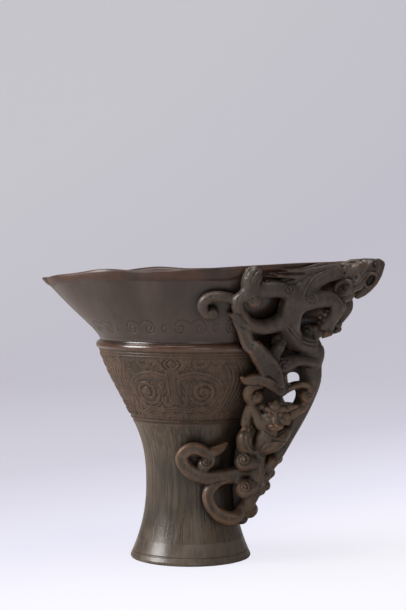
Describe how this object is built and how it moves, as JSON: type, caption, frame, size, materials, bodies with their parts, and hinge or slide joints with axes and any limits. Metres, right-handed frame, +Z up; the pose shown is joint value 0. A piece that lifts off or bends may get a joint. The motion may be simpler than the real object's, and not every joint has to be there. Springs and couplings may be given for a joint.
{
  "type": "horn drinking cup",
  "caption": "Carved horn libation cup with a flared petalled mouth, a beast-mask band, a narrow waist, a spreading foot and an openwork handle of dragons.",
  "frame": {"origin": "centre of the foot's flat underside, on the axis of the cup", "axes": "+Z up along the cup's axis; +X from the axis to the handle, with the spout at -X; -Y is the side that the picture shows"},
  "size_m": [0.1519, 0.101, 0.1325],
  "materials": {
    "horn_foot": "polished dark horn, semi-gloss, with worn brown edges",
    "horn_waist": "dark horn with its upright fibres showing, semi-gloss",
    "horn_band": "polished dark horn, semi-gloss, with worn brown edges",
    "horn_ledge": "polished dark horn, glossy",
    "horn_mouth": "polished grey-brown horn, glossy, with a red-brown lip and inside",
    "horn_handle": "polished dark horn, semi-gloss, with worn brown edges",
    "horn_rim_dragons": "polished dark horn, semi-gloss, with worn brown edges",
    "horn_climbers": "polished dark horn, semi-gloss, with worn brown edges"
  },
  "bodies": {
    "root": {"foot": "horn_foot", "waist": "horn_waist", "mask_band": "horn_band", "ledge_ring": "horn_ledge", "mouth_bowl": "horn_mouth", "handle_stem": "horn_handle", "handle_web": "horn_handle", "cloud_knobs": "horn_handle", "near_rim_dragon_body": "horn_rim_dragons", "near_rim_dragon_head": "horn_rim_dragons", "near_rim_dragon_mane": "horn_rim_dragons", "near_rim_dragon_foreleg": "horn_rim_dragons", "near_rim_dragon_hindleg": "horn_rim_dragons", "near_rim_dragon_tail": "horn_rim_dragons", "near_tail_hook": "horn_rim_dragons", "near_prop_leg": "horn_rim_dragons", "near_climber_head": "horn_climbers", "near_climber_mane": "horn_climbers", "near_climber_body": "horn_climbers", "near_climber_arms": "horn_climbers", "near_climber_tail": "horn_climbers", "near_ring_scroll": "horn_climbers", "near_root_knobs": "horn_climbers", "far_rim_dragon_body": "horn_rim_dragons", "far_rim_dragon_head": "horn_rim_dragons", "far_rim_dragon_mane": "horn_rim_dragons", "far_rim_dragon_foreleg": "horn_rim_dragons", "far_rim_dragon_hindleg": "horn_rim_dragons", "far_rim_dragon_tail": "horn_rim_dragons", "far_tail_hook": "horn_rim_dragons", "far_prop_leg": "horn_rim_dragons", "far_climber_head": "horn_climbers", "far_climber_mane": "horn_climbers", "far_climber_body": "horn_climbers", "far_climber_arms": "horn_climbers", "far_climber_tail": "horn_climbers", "far_ring_scroll": "horn_climbers", "far_root_knobs": "horn_climbers"}
  },
  "joints": []
}
